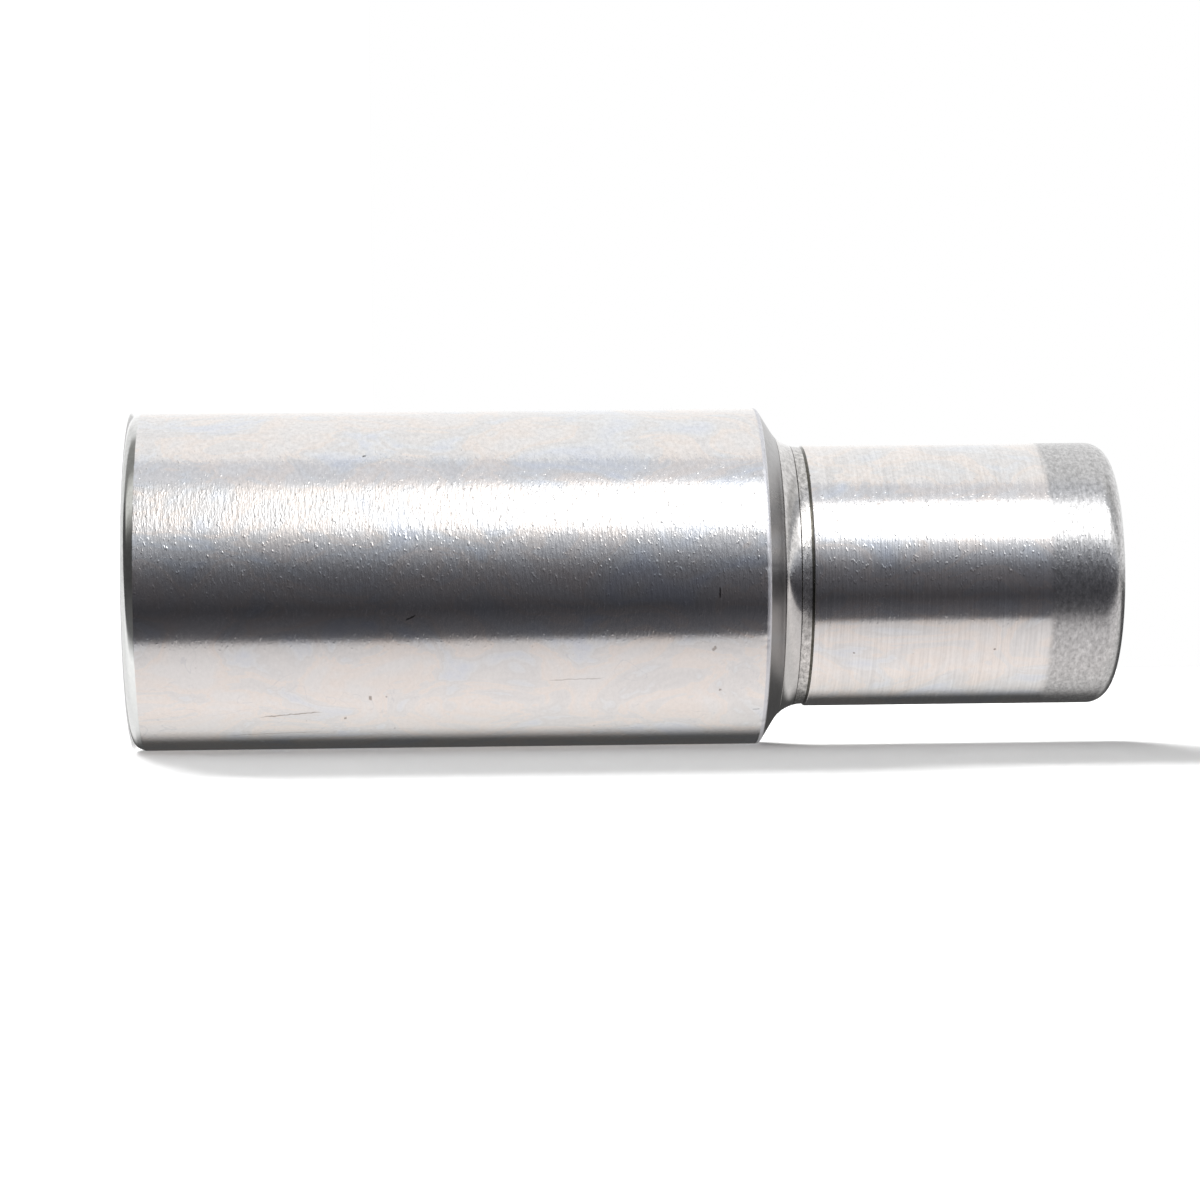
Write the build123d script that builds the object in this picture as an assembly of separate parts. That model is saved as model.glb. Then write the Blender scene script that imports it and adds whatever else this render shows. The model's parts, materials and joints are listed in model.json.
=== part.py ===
from build123d import *
from math import atan2, hypot, pi, radians, sin, tan
import os

# A stepped shaft, turned and ground from one bar of steel, in millimetres.
# It stands on the end face of its large diameter. The origin is the middle of that
# face and the shaft's axis is +Z, so the small journal points up.

# Large ground diameter, from the base face to the sharp corner of the shoulder
large_diameter = 28.575
large_length = 52.85

# Base edge: a shallow lead chamfer that is blended into the end face
base_chamfer_height = 1.0
base_chamfer_width = 0.38
base_corner_radius = 1.0

# Shoulder: a cone that sweeps down into a shallow relief groove at the journal
shoulder_angle = 58
shoulder_edge_radius = 0.35
shoulder_radius = 3.1
relief_depth = 0.17
relief_width = 0.15

# Small ground journal, from the relief groove to its flat end, and its rounded end
small_diameter = 22.225
small_length = 26.1
end_radius = 1.9

# A blend takes at most this share of a straight run beside it
longest_blend = 0.95


def rounding(radius, turn, run):
    """The radius that rounds a corner of this turn, or less where the run is too short."""
    return min(radius, longest_blend * run / tan(turn / 2))


def shaft_profile():
    """Half section of the shaft, from its axis at the base round to its axis at the top."""
    large_radius = large_diameter / 2
    small_radius = small_diameter / 2
    relief_radius = small_radius - relief_depth

    chamfer_run = hypot(base_chamfer_width, base_chamfer_height)
    chamfer_turn = atan2(base_chamfer_height, base_chamfer_width)
    base_blend = rounding(base_corner_radius, chamfer_turn, chamfer_run)

    shoulder_turn = radians(shoulder_angle)
    cone_height = (large_radius - relief_radius) / tan(shoulder_turn)
    cone_run = (large_radius - relief_radius) / sin(shoulder_turn)
    edge_blend = rounding(shoulder_edge_radius, shoulder_turn, cone_run / 2)
    cone_left = cone_run - edge_blend * tan(shoulder_turn / 2)
    shoulder_blend = rounding(shoulder_radius, shoulder_turn, cone_left)

    shoulder_foot = large_length + cone_height
    relief_start = shoulder_foot + shoulder_blend * tan(shoulder_turn / 2)
    journal_start = relief_start + relief_width
    journal_end = journal_start + small_length
    end_blend = rounding(end_radius, pi / 2, min(small_length, small_radius))

    corners = [
        (0, 0),
        (large_radius - base_chamfer_width, 0),
        (large_radius, base_chamfer_height),
        (large_radius, large_length),
        (relief_radius, shoulder_foot),
        (relief_radius, journal_start),
        (small_radius, journal_start),
        (small_radius, journal_end),
        (0, journal_end),
    ]
    blends = [base_blend, 0, edge_blend, shoulder_blend, 0, 0, end_blend]
    surface_line = FilletPolyline(*corners, radius=blends)
    axis_line = Line(corners[-1], corners[0])
    return make_face(surface_line.edges() + axis_line.edges())


def stepped_shaft():
    """The whole shaft, as one revolved solid about the Z axis."""
    half_section = Plane.XZ * shaft_profile()
    return revolve(half_section, Axis.Z)


os.makedirs("parts", exist_ok=True)
shaft = stepped_shaft().solid()
shaft.label = "stepped_shaft"
export_step(shaft, "parts/stepped_shaft.step")
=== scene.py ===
import json
import math

import bpy
import numpy as np
from mathutils import Matrix, Vector


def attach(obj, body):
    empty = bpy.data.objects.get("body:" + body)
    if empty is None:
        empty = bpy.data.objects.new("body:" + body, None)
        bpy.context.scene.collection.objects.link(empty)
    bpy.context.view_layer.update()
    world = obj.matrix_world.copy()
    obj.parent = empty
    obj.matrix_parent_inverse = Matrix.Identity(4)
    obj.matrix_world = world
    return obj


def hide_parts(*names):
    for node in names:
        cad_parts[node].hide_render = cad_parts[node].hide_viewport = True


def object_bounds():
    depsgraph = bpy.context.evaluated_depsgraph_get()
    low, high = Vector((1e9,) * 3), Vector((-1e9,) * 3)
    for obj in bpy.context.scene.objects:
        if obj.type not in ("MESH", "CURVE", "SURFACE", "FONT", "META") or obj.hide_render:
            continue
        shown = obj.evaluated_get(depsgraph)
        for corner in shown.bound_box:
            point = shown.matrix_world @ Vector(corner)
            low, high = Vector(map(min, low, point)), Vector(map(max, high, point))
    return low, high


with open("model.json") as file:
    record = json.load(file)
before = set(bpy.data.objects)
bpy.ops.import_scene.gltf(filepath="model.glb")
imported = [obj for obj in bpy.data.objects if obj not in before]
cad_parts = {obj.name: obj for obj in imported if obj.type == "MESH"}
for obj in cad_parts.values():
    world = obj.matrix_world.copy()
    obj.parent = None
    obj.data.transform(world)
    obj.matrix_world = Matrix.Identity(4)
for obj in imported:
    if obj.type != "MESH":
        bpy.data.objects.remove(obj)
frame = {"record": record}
cad_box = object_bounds()
mounts = {mount["name"]: mount for mount in frame["record"]["mounts"]}

# Main sizes, in metres, from the frame. The shaft's axis is +Z and it stands at z = 0.
MM = 0.001
LARGE_RADIUS = mounts["large_journal"]["dims"]["r_mm"] * MM
SMALL_RADIUS = mounts["small_journal"]["dims"]["r_mm"] * MM
TOP = cad_box[1].z


def wall_ends(mount):
    """The lowest and highest z of a round mount's wall."""
    middle = mount["pos_m"][2]
    half = mount["dims"]["length_mm"] * MM / 2
    return middle - half, middle + half


CHAMFER_TOP, EDGE_START = wall_ends(mounts["large_journal"])
JOURNAL_START, JOURNAL_END = wall_ends(mounts["small_journal"])

# Fine sizes of the edges and of the shoulder, the same as the solid's own
CHAMFER_WIDTH = 0.38 * MM
CORNER_BLEND = 1.0 * MM
EDGE_BLEND = 0.35 * MM
SHOULDER_TURN = math.radians(58)
RELIEF_DEPTH = 0.17 * MM
SHOULDER_BLEND = 3.1 * MM
END_BLEND = TOP - JOURNAL_END

# Marks of the lathe and the grinder that only the looks carry
SEGMENTS = 576
ARC_STEP = math.radians(7)
SHARP_ANGLE = math.radians(14)
FINE_BLEND = 0.30 * MM
TOOL_LINES = (54.38 * MM, 55.77 * MM)
TOOL_LINE_WIDTH = 0.10 * MM
TOOL_LINE_DEPTH = 0.035 * MM
FACING_PITCH = 0.55 * MM
FACING_DEPTH = 0.012 * MM
NICKS = 70
NICK_OFFSET = 0.12 * MM

# Extra rows of the mesh, in mm: below the shoulder's edge, above the chamfer, and up the walls
EDGE_ROWS = (1.2, 0.6, 0.3, 0.15)
FOOT_ROWS = (0.25, 0.6)
WALL_ROWS = (*range(5, 50, 5), *range(60, 81, 4))

# Where the finishes meet, and how softly
ZONE_SOFT = 0.03 * MM
EDGE_BAND = (EDGE_START - 0.05 * MM, EDGE_START + 0.32 * MM)
EDGE_SOFT = 0.06 * MM
MATTE_START = 76.6 * MM
MATTE_SOFT = 0.4 * MM
# Width of the dark band at the foot of the journal's step
STEP_DARK_WIDTH = 0.2 * MM
# Half width of the painted shade along each tool line's groove
LINE_SHADE_HALF = 0.035 * MM
FINE_SOFT = 0.02 * MM

# Grains of the steel: how many to the metre round the axis, and along it
SHORT_GRAIN = (900, 4300)
LONG_GRAIN = (170, 5200)
PIT_GRAIN = (2400, 4600)
STAIN_GRAIN = (190, 115)
TIDE_GRAIN = (150, 90)
SPECKLE_GRAIN = (2200, 3600)
SPECK_GRAIN = (1500, 1500)
GRAIN_HEIGHT = 0.022 * MM

# A strip along the shaft is smoother than the rest. Its middle and its inner and outer half
# widths are in mm round the shaft, and a share of the grain is left there.
SMOOTH_MIDDLE = -10.5
SMOOTH_HALF = (6.5, 11.5)
SMOOTH_SHARE = 0.3

# Base colours
STAINS = (
    (0.33, (0.735, 0.755, 0.805)),
    (0.42, (0.785, 0.785, 0.79)),
    (0.44, (0.755, 0.74, 0.735)),
    (0.50, (0.795, 0.775, 0.765)),
    (0.52, (0.835, 0.775, 0.735)),
    (0.63, (0.81, 0.79, 0.78)),
)
TIDE = (0.52, 0.54, 0.60)
SPECK = (0.22, 0.18, 0.16)
CHAMFER = (0.75, 0.755, 0.745)
EDGE = (0.70, 0.70, 0.73)
# The shoulder's turned face: a duller steel, with its colour also darkened as painted shade
CONE_STEEL_AND_SHADE = (0.34, 0.335, 0.335)
SWEEP = (0.60, 0.585, 0.575)
RELIEF = (0.56, 0.545, 0.53)
MATTE = (0.54, 0.535, 0.535)
# A dark band at the foot of the journal's step
STEP_DARK = (0.10, 0.095, 0.08)
# Painted shade: a dark colour drawn along each tool line's groove
TOOL_LINE_SHADE = (0.16, 0.15, 0.145)
BROWN = (0.33, 0.29, 0.26)
BLACK = (0.03, 0.03, 0.03)

# Handling marks: degrees round the shaft, then mm up it, long and wide, then tilt, strength and colour
MARKS = (
    (-51, 13.5, 5.6, 0.10, 7, 0.8, BROWN),
    (-63, 12.0, 9.0, 0.07, 4, 0.5, BROWN),
    (-36, 37.0, 5.0, 0.08, 2, 0.4, BROWN),
    (-5.5, 48.7, 0.14, 0.55, 0, 0.9, BLACK),
    (-13, 23.5, 1.0, 0.10, 30, 0.8, BLACK),
    (-25, 48.3, 0.5, 0.22, 20, 0.7, BROWN),
    (45, 19.8, 0.35, 0.20, 0, 0.9, BLACK),
    (-43, 20.1, 0.30, 0.20, 0, 0.8, BROWN),
    (-53, 18.0, 0.25, 0.20, 0, 0.8, BROWN),
    (-41, 48.9, 0.25, 0.18, 0, 0.8, BROWN),
    (-51, 52.0, 0.7, 0.05, 0, 0.7, BLACK),
)
MARK_WANDER = 4

# Light that polished metal sees, by degrees round the shaft: 0 is the photographer, and
# positive is above in the photograph
WALLS = (
    (-120, (0.84, 0.83, 0.82)),
    (-95, (0.97, 0.94, 0.93)),
    (-60, (0.84, 0.82, 0.82)),
    (-44, (0.68, 0.66, 0.66)),
    (-41, (0.085, 0.085, 0.095)),
    (-20, (0.035, 0.035, 0.04)),
    (0, (0.085, 0.085, 0.095)),
    (9, (0.13, 0.135, 0.15)),
    (20, (0.33, 0.345, 0.375)),
    (28, (0.56, 0.58, 0.61)),
    (40, (0.76, 0.77, 0.79)),
    (72, (0.78, 0.80, 0.84)),
    (87, (0.76, 0.78, 0.82)),
    (90, (1.0, 1.0, 1.0)),
    (150, (1.03, 1.03, 1.03)),
    (172, (1.15, 1.15, 1.15)),
)
# The same for what lies well below the shaft's large end
LOW_WALLS = (
    (-120, (1.0, 1.0, 1.0)),
    (-64, (1.22, 1.22, 1.22)),
    (-54, (0.70, 0.70, 0.70)),
    (-45, (0.15, 0.15, 0.15)),
    (0, (0.06, 0.06, 0.06)),
    (22, (0.07, 0.07, 0.07)),
    (32, (0.14, 0.14, 0.135)),
    (42, (0.42, 0.42, 0.40)),
    (52, (0.76, 0.76, 0.73)),
    (68, (0.76, 0.76, 0.73)),
    (78, (0.50, 0.50, 0.48)),
    (86, (0.27, 0.27, 0.26)),
    (115, (0.30, 0.30, 0.29)),
    (125, (0.85, 0.85, 0.85)),
)
BACK_FLAG = (0.075, 0.075, 0.075)
DIM_WALL = (0.25, 0.25, 0.24)
LOWEST = (0.07, 0.07, 0.07)
SOFT_BOX = (34, 66)
SOFT_BOX_EDGE = 6
# The flags close in by this share of their angle, up to this angle and this slope
CLOSING = 0.28
CLOSING_ANGLE = 45
CLOSING_SLOPE = 0.45

# Plain light, and the pale floor and side table
PLAIN_LIGHT = 0.26
WHITE = (1, 1, 1, 1)
PALE = (0.9, 0.9, 0.9, 1)
FLOOR_HALF = 1.5
FLOOR_GLOW = 0.30
TABLE_GAP = 0.02 * MM
TABLE_FRONT = 0.28
TABLE_BACK = 0.30
TABLE_HEIGHT = 0.30
TABLE_GLOW = 0.0


# ---------------------------------------------------------------- profile

def rounded(corners, blends):
    """The line through these corners, with each corner turned into an arc of its blend radius."""
    line = [Vector(corners[0])]
    for before, corner, after, blend in zip(corners, corners[1:], corners[2:], blends):
        corner = Vector(corner)
        back = (Vector(before) - corner).normalized()
        ahead = (Vector(after) - corner).normalized()
        turn = math.pi - back.angle(ahead)
        if blend == 0:
            line.append(corner)
            continue
        centre = corner + (back + ahead).normalized() * blend / math.cos(turn / 2)
        start = corner + back * blend * math.tan(turn / 2) - centre
        end = corner + ahead * blend * math.tan(turn / 2) - centre
        count = max(2, math.ceil(turn / ARC_STEP))
        for i in range(count + 1):
            share = i / count
            spoke = (start * math.sin((1 - share) * turn) + end * math.sin(share * turn)) / math.sin(turn)
            line.append(centre + spoke)
    line.append(Vector(corners[-1]))
    return line


def radius_at(line, z):
    """The profile's radius at this height, away from its flat ends."""
    for a, b in zip(line, line[1:]):
        if a.y < z <= b.y:
            return a.x + (b.x - a.x) * (z - a.y) / (b.y - a.y)
    raise ValueError(z)


def with_line(line, z, width, depth):
    """The profile with a fine V line cut into it at this height."""
    cut = [Vector((radius_at(line, z + offset) - sink, z + offset))
           for offset, sink in ((-width / 2, 0), (0, depth), (width / 2, 0))]
    below = [p for p in line if p.y < z - width / 2]
    above = [p for p in line if p.y > z + width / 2]
    return below + cut + above


def with_stations(line, stations):
    """The profile with extra points at these heights."""
    for z in stations:
        point = Vector((radius_at(line, z), z))
        index = next(i for i, p in enumerate(line) if p.y > z)
        line = line[:index] + [point] + line[index:]
    return line


def facing(rim, z, inward):
    """Fine rings left by the facing tool on a flat end, from the rim towards the middle."""
    rings = []
    count = int(rim / FACING_PITCH)
    for i in range(1, 2 * count):
        sink = FACING_DEPTH if i % 2 else 0
        rings.append(Vector((rim - i * FACING_PITCH / 2, z + inward * sink)))
    return rings


def shaft_profile():
    """Half section of the shaft, from its axis at the base round to its axis at the top."""
    relief_radius = SMALL_RADIUS - RELIEF_DEPTH
    large_length = EDGE_START + EDGE_BLEND * math.tan(SHOULDER_TURN / 2)
    shoulder_foot = large_length + (LARGE_RADIUS - relief_radius) / math.tan(SHOULDER_TURN)
    corners = [
        (0, 0),
        (LARGE_RADIUS - CHAMFER_WIDTH, 0),
        (LARGE_RADIUS, CHAMFER_TOP),
        (LARGE_RADIUS, large_length),
        (relief_radius, shoulder_foot),
        (relief_radius, JOURNAL_START),
        (SMALL_RADIUS, JOURNAL_START),
        (SMALL_RADIUS, TOP),
        (0, TOP),
    ]
    blends = [CORNER_BLEND, FINE_BLEND, EDGE_BLEND, SHOULDER_BLEND, 0, FINE_BLEND / 4, END_BLEND]
    line = rounded(corners, blends)
    for line_height in TOOL_LINES:
        line = with_line(line, line_height, TOOL_LINE_WIDTH, TOOL_LINE_DEPTH)
    edge_rows = [EDGE_START - row * MM for row in EDGE_ROWS]
    foot_rows = [CHAMFER_TOP + row * MM for row in FOOT_ROWS]
    wall_rows = [row * MM for row in WALL_ROWS]
    line = with_stations(line, edge_rows + foot_rows + wall_rows)
    bottom_rings = facing(line[1].x, 0, 1)[::-1]
    top_rings = facing(line[-2].x, TOP, -1)
    return line[:1] + bottom_rings + line[1:-1] + top_rings + line[-1:]


# ---------------------------------------------------------------- shaft

def lathe(name, line, segments, shape):
    """A closed mesh, turned from the profile. shape(angles, rows) gives each ring's radii."""
    rows = line[1:-1]
    angles = np.arange(segments) * (2 * math.pi / segments)
    radii = shape(angles, rows)
    heights = np.array([p.y for p in rows])[:, None] + np.zeros_like(radii)
    rings = np.stack([radii * np.cos(angles), radii * np.sin(angles), heights], -1).reshape(-1, 3)
    points = rings.tolist() + [(0, 0, line[0].y), (0, 0, line[-1].y)]
    low, high = len(rings), len(rings) + 1
    last = (len(rows) - 1) * segments
    faces = []
    for i in range(segments):
        j = (i + 1) % segments
        faces.append((low, j, i))
        for row in range(0, last, segments):
            faces.append((row + i, row + j, row + segments + j, row + segments + i))
        faces.append((last + i, last + j, high))
    mesh = bpy.data.meshes.new(name)
    mesh.from_pydata(points, [], faces)
    mesh.polygons.foreach_set("use_smooth", [True] * len(faces))
    mesh.set_sharp_from_angle(angle=SHARP_ANGLE)
    mesh.validate()
    turned = bpy.data.objects.new(name, mesh)
    bpy.context.scene.collection.objects.link(turned)
    return turned


def worn(angles, rows):
    """The radii of each ring, with small seeded nicks along the shoulder's sharp corner."""
    radii = np.array([p.x for p in rows])[:, None] + np.zeros(len(angles))
    heights = np.array([p.y for p in rows])[:, None]
    chance = np.random.default_rng(7)
    corner = EDGE_START + NICK_OFFSET
    for _ in range(NICKS):
        where = chance.uniform(0, 2 * math.pi)
        width = chance.uniform(0.10, 0.35) * MM
        depth = chance.uniform(0.01, 0.045) * MM
        reach = chance.uniform(0.15, 0.4) * MM
        along = np.angle(np.exp(1j * (angles - where))) * LARGE_RADIUS / width
        up = (heights - corner) / reach
        radii -= depth * np.exp(-along ** 2 - up ** 2)
    return radii


# ---------------------------------------------------------------- nodes

class Graph:
    """Short ways to add nodes to one node tree."""

    def __init__(self, tree):
        self.tree = tree
        tree.nodes.clear()

    def add(self, kind, inputs=None, **settings):
        """A node with these settings. inputs maps a socket's name or number to a value or a socket."""
        node = self.tree.nodes.new(kind)
        for key, value in settings.items():
            setattr(node, key, value)
        for key, value in (inputs or {}).items():
            if isinstance(value, bpy.types.NodeSocket):
                self.tree.links.new(value, node.inputs[key])
            else:
                node.inputs[key].default_value = value
        return node

    def math(self, operation, a, b=0.0, c=0.0, clamp=False):
        node = self.add("ShaderNodeMath", {0: a, 1: b, 2: c}, operation=operation, use_clamp=clamp)
        return node.outputs[0]

    def vector(self, operation, inputs):
        return self.add("ShaderNodeVectorMath", inputs, operation=operation).outputs[0]

    def step(self, value, low, high, start=0.0, end=1.0):
        """A smooth step of value, from start below low to end above high."""
        limits = {"Value": value, "From Min": low, "From Max": high, "To Min": start, "To Max": end}
        node = self.add("ShaderNodeMapRange", limits, interpolation_type="SMOOTHSTEP")
        return node.outputs["Result"]

    def ramp(self, value, stops):
        """A colour ramp. Each stop is (position, (r, g, b))."""
        node = self.add("ShaderNodeValToRGB", {"Fac": value})
        elements = node.color_ramp.elements
        while len(elements) < len(stops):
            elements.new(0.5)
        for element, (position, colour) in zip(elements, stops):
            element.position = position
            element.color = (*colour, 1)
        return node.outputs["Color"]

    def mix(self, share, a, b):
        """A colour mix of a and b."""
        node = self.add("ShaderNodeMix", data_type="RGBA")
        for key, value in ((0, share), (6, a), (7, b)):
            if isinstance(value, bpy.types.NodeSocket):
                self.tree.links.new(value, node.inputs[key])
            else:
                node.inputs[key].default_value = value if key == 0 else (*value, 1)
        return node.outputs[2]

    def noise(self, where, scale, detail, roughness=0.5, distortion=0.0):
        settings = {"Vector": where, "Scale": scale, "Detail": detail,
                    "Roughness": roughness, "Distortion": distortion}
        return self.add("ShaderNodeTexNoise", settings).outputs["Fac"]

    def grain(self, where, counts, detail, roughness, distortion=0.0):
        """Noise with this many grains to the metre round the axis, and along it."""
        around, along = counts
        stretched = self.vector("MULTIPLY", {0: where, 1: (around, around, along)})
        return self.noise(stretched, 1.0, detail, roughness, distortion)


# ---------------------------------------------------------------- steel

def steel_zones(graph, height):
    """How far each point lies in each turned or ground face, told apart by its height."""

    def above(z, soft=ZONE_SOFT):
        return graph.step(height, z - soft, z + soft)

    def between(low, high, soft=ZONE_SOFT):
        return graph.math("SUBTRACT", above(low, soft), above(high, soft))

    return {
        "large": between(CHAMFER_TOP, EDGE_START),
        "edge": between(*EDGE_BAND, EDGE_SOFT),
        "cone": between(EDGE_BAND[1], TOOL_LINES[0]),
        "sweep": between(*TOOL_LINES),
        "relief": between(TOOL_LINES[1], JOURNAL_START),
        "journal": above(JOURNAL_START),
        "matte": above(MATTE_START, MATTE_SOFT),
        "chamfer": graph.math("SUBTRACT", 1.0, above(CHAMFER_TOP)),
        # A dark band at the foot of the journal's step
        "dirt": between(JOURNAL_START - STEP_DARK_WIDTH, JOURNAL_START, FINE_SOFT),
        # Painted shade along the tool lines' grooves
        "lines": [between(z - LINE_SHADE_HALF, z + LINE_SHADE_HALF, FINE_SOFT) for z in TOOL_LINES],
    }


def steel_bump(graph, place, zones, gritty, long_grain):
    """Grinding marks: short on the large diameter, long and fine on the journal."""
    short_grain = graph.grain(place, SHORT_GRAIN, 3.0, 0.7)
    pits = graph.grain(place, PIT_GRAIN, 1.0, 0.5)
    spark = graph.math("POWER", graph.step(pits, 0.52, 0.80), 2.0)
    coarse = graph.math("MULTIPLY_ADD", zones["large"], 0.45, 0.55)
    height = graph.math("MULTIPLY", short_grain, coarse)
    height = graph.math("ADD", height, graph.math("MULTIPLY", spark, 0.55))
    fine = graph.math("MULTIPLY_ADD", zones["journal"], 0.5, 0.12)
    height = graph.math("ADD", height, graph.math("MULTIPLY", long_grain, fine))

    ground = graph.math("MAXIMUM", zones["large"], zones["journal"])
    turned = graph.math("MULTIPLY_ADD", zones["relief"], 0.8, graph.math("MULTIPLY", zones["sweep"], 0.5))
    turned = graph.math("MULTIPLY_ADD", zones["edge"], 1.0, turned)
    strength = graph.math("MULTIPLY", graph.math("ADD", ground, turned, clamp=True), gritty)
    bump = graph.add("ShaderNodeBump", {"Strength": strength, "Distance": GRAIN_HEIGHT, "Height": height})
    return bump.outputs[0]


def stained(graph, place, zones, cloud):
    """Thin stains left by oil and handling, with a fine tide line round some of them, and specks."""
    tone = graph.ramp(cloud, STAINS)
    tide = graph.math("SUBTRACT", graph.grain(place, TIDE_GRAIN, 3.0, 0.55, 1.5), 0.56)
    tide = graph.step(graph.math("ABSOLUTE", tide), 0.001, 0.004, 0.22, 0)
    tone = graph.mix(graph.math("MULTIPLY", tide, zones["large"]), tone, TIDE)
    specks = graph.step(graph.grain(place, SPECK_GRAIN, 1.0, 0.5), 0.80, 0.84, 0, 0.7)
    return graph.mix(specks, tone, SPECK)


def marked(graph, tone, around, height):
    """The tone with the handling marks drawn on the unrolled surface, in mm."""
    up = graph.math("DIVIDE", height, MM)
    unrolled = graph.add("ShaderNodeCombineXYZ", {0: around, 1: up}).outputs[0]
    wander = graph.math("SUBTRACT", graph.noise(unrolled, 1.6, 3.0), 0.5)
    for turn, along, length, width, tilt, strength, colour in MARKS:
        spot = (math.radians(turn) * LARGE_RADIUS / MM, along, 0)
        local = graph.vector("SUBTRACT", {0: unrolled, 1: spot})
        rotate = graph.add("ShaderNodeVectorRotate", {"Vector": local, "Angle": math.radians(tilt)},
                           rotation_type="Z_AXIS")
        across, down, _ = graph.add("ShaderNodeSeparateXYZ", {0: rotate.outputs[0]}).outputs
        across = graph.math("ABSOLUTE", graph.math("MULTIPLY_ADD", wander, MARK_WANDER * width, across))
        down = graph.math("ABSOLUTE", down)
        inside = graph.math("MULTIPLY", graph.step(across, 0.3 * width, width, 1, 0),
                            graph.step(down, 0.3 * length, 0.5 * length, 1, 0))
        tone = graph.mix(graph.math("MULTIPLY", inside, strength), tone, colour)
    return tone


def speckled(graph, tone, place, zones, gritty, long_grain):
    """The tone with fine speckle, strongest on the relief and the matt band, and journal lines."""
    speckle = graph.grain(place, SPECKLE_GRAIN, 2.0, 0.7)
    contrast = graph.math("MULTIPLY_ADD", zones["relief"], 1.6, 0.45)
    contrast = graph.math("MULTIPLY_ADD", zones["sweep"], 0.8, contrast)
    contrast = graph.math("MULTIPLY_ADD", zones["matte"], 0.9, contrast)
    full = graph.math("ADD", zones["matte"], zones["relief"])
    contrast = graph.math("MULTIPLY", contrast, graph.math("MAXIMUM", gritty, full))
    shade = graph.math("MULTIPLY", graph.math("SUBTRACT", speckle, 0.5), contrast)
    lines = graph.math("MULTIPLY", graph.math("SUBTRACT", long_grain, 0.5), zones["journal"])
    shade = graph.math("MULTIPLY_ADD", lines, 0.32, graph.math("ADD", shade, 1.0))
    return graph.vector("SCALE", {0: tone, "Scale": shade})


def steel():
    """Ground steel, with a finish for each turned and ground face, painted shade in the tool lines, and
    painted shade darkening the shoulder's cone.
    """
    material = bpy.data.materials.new("ground_steel")
    material.use_nodes = True
    graph = Graph(material.node_tree)
    place = graph.add("ShaderNodeTexCoord").outputs["Object"]
    x, y, height = graph.add("ShaderNodeSeparateXYZ", {0: place}).outputs
    zones = steel_zones(graph, height)

    # Millimetres round the shaft, from the middle of the photographed side
    around = graph.math("ARCTAN2", graph.math("MULTIPLY", x, -1), graph.math("MULTIPLY", y, -1))
    around = graph.math("MULTIPLY", around, LARGE_RADIUS / MM)
    from_smooth = graph.math("ABSOLUTE", graph.math("ADD", around, -SMOOTH_MIDDLE))
    gritty = graph.step(from_smooth, *SMOOTH_HALF, SMOOTH_SHARE, 1)
    long_grain = graph.grain(place, LONG_GRAIN, 2.0, 0.6)
    normal = steel_bump(graph, place, zones, gritty, long_grain)

    cloud = graph.grain(place, STAIN_GRAIN, 3.5, 0.55, 1.4)
    tone = stained(graph, place, zones, cloud)
    tone = marked(graph, tone, around, height)
    # The shoulder's cone colour carries painted shade as well as its duller turned finish
    finishes = (("chamfer", CHAMFER), ("edge", EDGE), ("cone", CONE_STEEL_AND_SHADE), ("sweep", SWEEP),
                # The band at the foot of the journal's step is drawn dark in the colour
                ("relief", RELIEF), ("matte", MATTE), ("dirt", STEP_DARK))
    for name, colour in finishes:
        tone = graph.mix(zones[name], tone, colour)
    # Painted shade: the tool lines' grooves are darkened in the colour
    for line in zones["lines"]:
        tone = graph.mix(line, tone, TOOL_LINE_SHADE)
    tone = speckled(graph, tone, place, zones, gritty, long_grain)

    roughness = graph.math("MULTIPLY_ADD", cloud, 0.06, 0.11)
    for name, extra in (("matte", 0.11), ("cone", 0.14), ("edge", 0.30), ("relief", 0.08)):
        roughness = graph.math("MULTIPLY_ADD", zones[name], extra, roughness)

    surface = graph.add("ShaderNodeBsdfPrincipled", {"Base Color": tone, "Metallic": 1.0,
                                                     "Roughness": roughness, "Normal": normal})
    graph.add("ShaderNodeOutputMaterial", {"Surface": surface.outputs[0]})
    return material


shaft = lathe("ground_shaft", shaft_profile(), SEGMENTS, worn)
shaft.data.materials.append(steel())
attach(shaft, "root")
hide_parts("stepped_shaft")


# ---------------------------------------------------------------- camera

def photograph_camera():
    """The photograph's own view: the shaft lies across the picture, its journal to the right."""
    yaw = math.radians(2.70)
    roll = math.radians(0.596)
    across = Vector((0, -math.sin(yaw), math.cos(yaw)))
    down = Vector((1, 0, 0))
    ahead = Vector((0, math.cos(yaw), math.sin(yaw)))
    right = across * math.cos(roll) + down * math.sin(roll)
    below = down * math.cos(roll) - across * math.sin(roll)
    camera = bpy.data.objects.new("camera", bpy.data.cameras.new("camera"))
    camera.data.lens = 111.8
    camera.data.sensor_width = 36
    camera.data.clip_start = 0.01
    camera.data.clip_end = 20
    turn = Matrix((right, -below, -ahead)).transposed().to_4x4()
    camera.matrix_world = Matrix.Translation(Vector((1.92, -317.08, 24.61)) * MM) @ turn
    bpy.context.scene.collection.objects.link(camera)
    bpy.context.scene.camera = camera


photograph_camera()


# ---------------------------------------------------------------- studio

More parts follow.
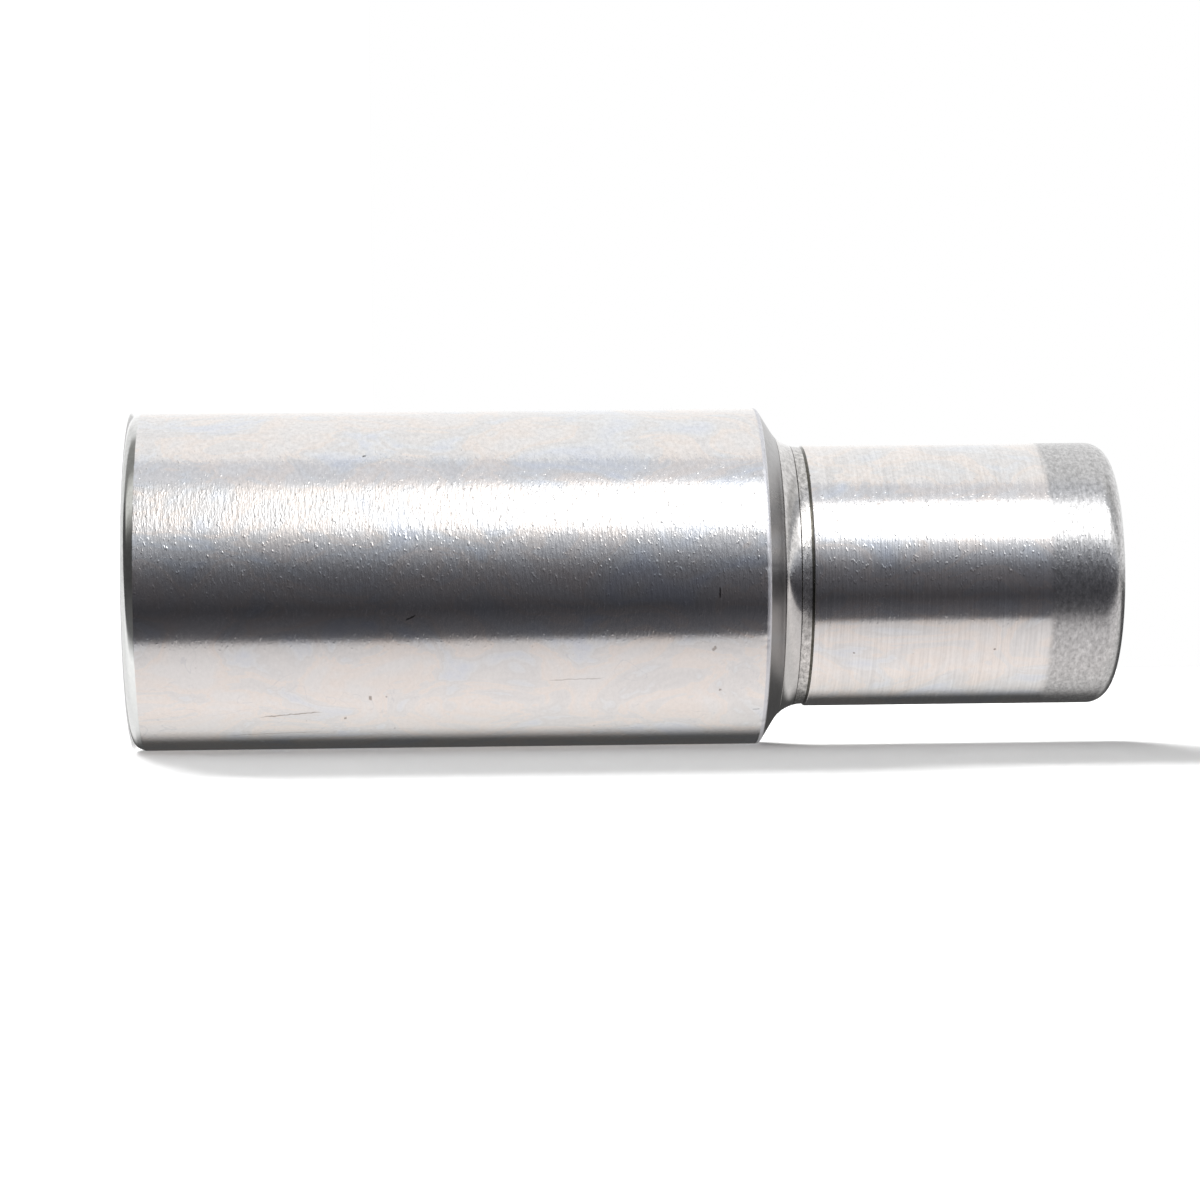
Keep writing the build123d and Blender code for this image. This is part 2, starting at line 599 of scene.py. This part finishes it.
def metal_sees(graph, direction):
    """What polished metal sees this way: white walls, dark flags and a long soft box."""
    x, y, z = graph.add("ShaderNodeSeparateXYZ", {0: direction}).outputs
    behind = graph.math("ARCTAN2", graph.math("MULTIPLY", x, -1), graph.math("MULTIPLY", y, -1))
    turn = graph.math("MULTIPLY", behind, 180 / math.pi)

    # The flags close in towards the shaft's small end
    slope = graph.math("MAXIMUM", z, graph.math("MULTIPLY", graph.math("GREATER_THAN", turn, 0), -1))
    slope = graph.math("MINIMUM", slope, CLOSING_SLOPE)
    near = graph.math("MAXIMUM", graph.math("MINIMUM", turn, CLOSING_ANGLE), -CLOSING_ANGLE)
    turn = graph.math("MULTIPLY_ADD", graph.math("MULTIPLY", near, slope), CLOSING, turn)

    def by_degrees(stops):
        share = graph.math("MULTIPLY_ADD", turn, 1 / 360, 0.5)
        return graph.ramp(share, [(degrees / 360 + 0.5, colour) for degrees, colour in stops])

    def arc(low, high, soft):
        return graph.math("MULTIPLY", graph.step(turn, low - soft, low + soft),
                          graph.step(turn, high - soft, high + soft, 1, 0))

    # A flag behind the shaft, narrower above the journal
    back_flag = graph.math("MULTIPLY", graph.step(turn, -143, -119, 1, 0), graph.step(z, -0.45, -0.2))
    wide = graph.math("MAXIMUM", graph.step(z, 0.25, 0.5, 1, 0), graph.step(turn, -160, -145, 1, 0))
    seen = graph.mix(graph.math("MULTIPLY", back_flag, wide), by_degrees(WALLS), BACK_FLAG)

    # Dimmer walls beyond both ends, and other ones well below the large end
    far_ends = graph.math("MAXIMUM", graph.step(z, 0.3, 0.8, 0, 0.5), graph.step(z, -0.6, -0.25, 0.85, 0))
    seen = graph.mix(graph.math("MULTIPLY", arc(55, 118, 8), far_ends), seen, DIM_WALL)
    low_side = graph.step(z, -0.42, -0.27, 1, 0)
    seen = graph.mix(low_side, seen, by_degrees(LOW_WALLS))
    lowest = graph.math("MULTIPLY", graph.step(z, -0.92, -0.80, 1, 0), arc(-45, 130, 8))
    seen = graph.mix(lowest, seen, LOWEST)

    # The dark side is a little lighter towards the shaft's small end
    lift = graph.math("MULTIPLY_ADD", arc(-38, 30, 3), graph.step(z, -0.05, 0.20, 0, 0.5), 1.0)
    seen = graph.vector("SCALE", {0: seen, "Scale": lift})

    # The soft box is brightest beside the journal
    level = graph.math("MULTIPLY", graph.step(z, -0.32, -0.03, 0.1, 1.0),
                       graph.step(z, -0.08, 0.28, 1.0, 4.0))
    level = graph.math("MULTIPLY", level, graph.step(z, 0.35, 0.85, 1.0, 0.3))
    glow = graph.add("ShaderNodeCombineXYZ", {0: level, 1: level, 2: level}).outputs[0]
    in_box = graph.math("MULTIPLY", arc(*SOFT_BOX, SOFT_BOX_EDGE), graph.math("SUBTRACT", 1.0, low_side))
    return graph.mix(in_box, seen, glow)


def studio():
    """A white room with plain light, and its own surroundings for polished metal."""
    world = bpy.data.worlds.new("studio")
    world.use_nodes = True
    bpy.context.scene.world = world
    graph = Graph(world.node_tree)
    direction = graph.add("ShaderNodeTexCoord").outputs["Generated"]
    path = graph.add("ShaderNodeLightPath")
    polished = graph.add("ShaderNodeBackground", {"Color": metal_sees(graph, direction), "Strength": 1.0})
    white = graph.add("ShaderNodeBackground", {"Color": WHITE, "Strength": 1.0})
    plain = graph.add("ShaderNodeBackground", {"Color": WHITE, "Strength": PLAIN_LIGHT})
    shader = graph.add("ShaderNodeMixShader", {0: path.outputs["Is Glossy Ray"], 1: plain.outputs[0],
                                               2: polished.outputs[0]})
    direct = graph.math("MAXIMUM", path.outputs["Is Camera Ray"], path.outputs["Is Transmission Ray"])
    shader = graph.add("ShaderNodeMixShader", {0: direct, 1: shader.outputs[0], 2: white.outputs[0]})
    graph.add("ShaderNodeOutputWorld", {0: shader.outputs[0]})


def pale_surface(name, corners, glow, one_sided):
    """A plain pale surface that keeps the shaft's shadow. glow lifts it in the picture only."""
    mesh = bpy.data.meshes.new(name)
    mesh.from_pydata(corners, [], [(0, 1, 2, 3)])
    surface = bpy.data.objects.new(name, mesh)
    bpy.context.scene.collection.objects.link(surface)
    material = bpy.data.materials.new(name)
    material.use_nodes = True
    graph = Graph(material.node_tree)
    seen = graph.add("ShaderNodeLightPath").outputs["Is Camera Ray"]
    matte = graph.add("ShaderNodeBsdfDiffuse", {"Color": PALE})
    light = graph.add("ShaderNodeEmission", {"Color": WHITE, "Strength": graph.math("MULTIPLY", seen, glow)})
    shader = graph.add("ShaderNodeAddShader", {0: matte.outputs[0], 1: light.outputs[0]})
    if one_sided:
        clear = graph.add("ShaderNodeBsdfTransparent")
        back = graph.add("ShaderNodeNewGeometry").outputs["Backfacing"]
        shader = graph.add("ShaderNodeMixShader", {0: back, 1: shader.outputs[0], 2: clear.outputs[0]})
    graph.add("ShaderNodeOutputMaterial", {0: shader.outputs[0]})
    mesh.materials.append(material)
    surface.visible_glossy = False
    surface.visible_shadow = False


def lamp(name, towards, energy, spread):
    """A soft lamp that throws a shadow this way. The metal sees the studio and not this lamp."""
    light = bpy.data.objects.new(name, bpy.data.lights.new(name, "SUN"))
    light.data.energy = energy
    light.data.angle = math.radians(spread)
    light.rotation_euler = Vector(towards).to_track_quat("-Z", "Y").to_euler()
    light.visible_glossy = False
    bpy.context.scene.collection.objects.link(light)


def stage():
    """The floor, the surface beside the shaft that takes its shadow in the photograph, and the light."""
    floor = [(-FLOOR_HALF, -FLOOR_HALF, 0), (FLOOR_HALF, -FLOOR_HALF, 0),
             (FLOOR_HALF, FLOOR_HALF, 0), (-FLOOR_HALF, FLOOR_HALF, 0)]
    side = LARGE_RADIUS + TABLE_GAP
    table = [(side, -TABLE_FRONT, 0.0), (side, -TABLE_FRONT, TABLE_HEIGHT),
             (side, TABLE_BACK, TABLE_HEIGHT), (side, TABLE_BACK, 0.0)]
    pale_surface("floor", floor, FLOOR_GLOW, False)
    pale_surface("side_table", table, TABLE_GLOW, True)
    lamp("back_light", (0.44, -0.88, 0.16), 7.8, 15)
    lamp("top_light", (0, 0.5, -0.86), 2.6, 25)
    studio()


stage()
bpy.context.scene.view_settings.view_transform = "Standard"
